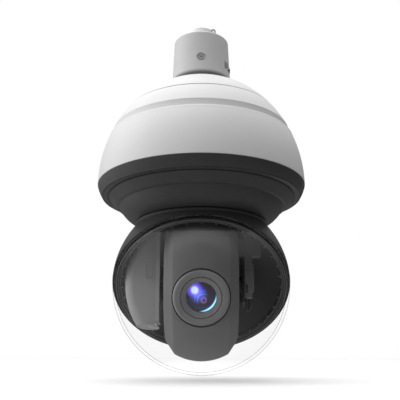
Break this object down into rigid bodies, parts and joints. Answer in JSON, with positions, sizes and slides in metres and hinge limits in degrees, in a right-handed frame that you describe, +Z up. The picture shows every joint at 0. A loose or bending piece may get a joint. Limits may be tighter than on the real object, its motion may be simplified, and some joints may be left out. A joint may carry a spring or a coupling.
{
  "type": "ptz camera",
  "caption": "Hanging pan-tilt-zoom dome camera: white weather cover over a dark housing, with a turning ball, clear window and tilting lens head.",
  "frame": {"origin": "on the pan axis, at the top face of the mount adapter, where the threaded stub leaves it", "axes": "+Z up along the pan axis, out of the stub; -Y is the front, where the window and lens face; +X is to the right seen from the front"},
  "size_m": [0.232, 0.232, 0.4046],
  "materials": {
    "painted_grey": "satin powder coat",
    "white_cover": "satin, weather resistant",
    "black_housing": "fine satin",
    "ball_plastic": "satin",
    "inner_plastic": "matte",
    "clear_dome": "polished clear polycarbonate",
    "lens_glass": "coated",
    "seal_rubber": "matte",
    "steel": "brushed",
    "bright_steel": "polished",
    "cast_metal": "as cast",
    "dark_cast": "black anodised",
    "circuit_board": "solder mask",
    "black_plastic": "matte",
    "brass": "machined",
    "nylon": "moulded"
  },
  "bodies": {
    "housing": {"pipe_stub": "painted_grey", "mount_adapter": "painted_grey", "adapter_lock_screw": "steel", "safety_eyelet": "painted_grey", "bayonet_spigot": "cast_metal", "top_cap": "white_cover", "upper_cover": "white_cover", "sun_shield": "white_cover", "cover_gasket": "seal_rubber", "base_housing": "black_housing", "neck_flare": "black_housing", "main_chassis": "cast_metal", "neck_column": "cast_metal", "chassis_screws": "steel", "pan_bearing_outer": "steel", "pan_motor": "dark_cast", "slip_ring_stator": "black_plastic", "main_board": "circuit_board", "board_standoffs": "brass", "board_connectors": "steel", "button_housings": "black_plastic", "fan_frame": "black_plastic", "heater_block": "cast_metal"},
    "pan_unit": {"pan_hub": "cast_metal", "pan_gear": "nylon", "pan_bearing_inner": "steel", "slip_ring_rotor": "black_plastic", "collar_ring": "ball_plastic", "ball_shell": "ball_plastic", "dome_window": "clear_dome", "dome_seal": "seal_rubber", "window_ring": "ball_plastic", "yoke_frame": "dark_cast", "yoke_screws": "steel", "tilt_bearings": "steel", "tilt_motor": "dark_cast", "left_arm_cover": "inner_plastic", "cable_hook": "steel", "right_arm_bracket": "inner_plastic", "tilt_stop_rod": "dark_cast", "arm_board": "circuit_board"},
    "camera_head": {"head_front_shell": "inner_plastic", "head_rear_shell": "inner_plastic", "tilt_shafts": "dark_cast", "tilt_gear": "black_plastic", "lens_bezel": "inner_plastic", "lens_ring": "black_plastic", "front_element": "lens_glass", "lens_barrel": "dark_cast", "sensor_board": "circuit_board", "sensor_heatsink": "dark_cast"},
    "lock_ring": {"lock_ring": "bright_steel"},
    "fan_rotor": {"fan_rotor": "black_plastic"},
    "power_button": {"power_button": "black_plastic"},
    "reset_button": {"reset_button": "black_plastic"},
    "pan_pinion": {"pan_pinion": "brass"},
    "bearing_balls": {"pan_bearing_balls": "bright_steel"},
    "tilt_pinion": {"tilt_pinion": "brass"},
    "zoom_group": {"zoom_group": "lens_glass"},
    "focus_group": {"focus_group": "lens_glass"}
  },
  "joints": [
    {"name": "pan", "type": "hinge", "parent": "housing", "child": "pan_unit", "pos_m": [0, 0, -0.21], "axis": [0, 0, 1], "continuous": true},
    {"name": "tilt", "type": "hinge", "parent": "pan_unit", "child": "camera_head", "pos_m": [0, 0, -0.293], "axis": [1, 0, 0], "range_deg": [-40, 70]},
    {"name": "pan_pinion_spin", "type": "hinge", "parent": "housing", "child": "pan_pinion", "pos_m": [0, 0.058, -0.2], "axis": [0, 0, 1], "continuous": true},
    {"name": "bearing_spin", "type": "hinge", "parent": "housing", "child": "bearing_balls", "pos_m": [0, 0, -0.21], "axis": [0, 0, 1], "continuous": true},
    {"name": "tilt_pinion_spin", "type": "hinge", "parent": "pan_unit", "child": "tilt_pinion", "pos_m": [-0.0414, 0.0181, -0.2749], "axis": [1, 0, 0], "range_deg": [-216, 126]},
    {"name": "zoom", "type": "slide", "parent": "camera_head", "child": "zoom_group", "axis": [0, -0.9426, -0.3338], "range_m": [-0.012, 0.014]},
    {"name": "focus", "type": "slide", "parent": "camera_head", "child": "focus_group", "axis": [0, -0.9426, -0.3338], "range_m": [-0.004, 0.003]},
    {"name": "lock_ring_turn", "type": "hinge", "parent": "housing", "child": "lock_ring", "pos_m": [0, 0, -0.041], "axis": [0, 0, 1], "range_deg": [0, 22.5]},
    {"name": "fan_spin", "type": "hinge", "parent": "housing", "child": "fan_rotor", "pos_m": [0, -0.07, -0.178], "axis": [0, 0, 1], "continuous": true},
    {"name": "power_press", "type": "slide", "parent": "housing", "child": "power_button", "axis": [0, 0, -1], "range_m": [0, 0.0005], "stiffness_N_per_m": 1500, "springref_m": -0.0003},
    {"name": "reset_press", "type": "slide", "parent": "housing", "child": "reset_button", "axis": [0, 0, -1], "range_m": [0, 0.0005], "stiffness_N_per_m": 1500, "springref_m": -0.0003}
  ],
  "couplings": [
    {"joint": "pan_pinion_spin", "follows": "pan", "ratio": -6.25},
    {"joint": "bearing_spin", "follows": "pan", "ratio": 0.4762},
    {"joint": "tilt_pinion_spin", "follows": "tilt", "ratio": -3}
  ]
}
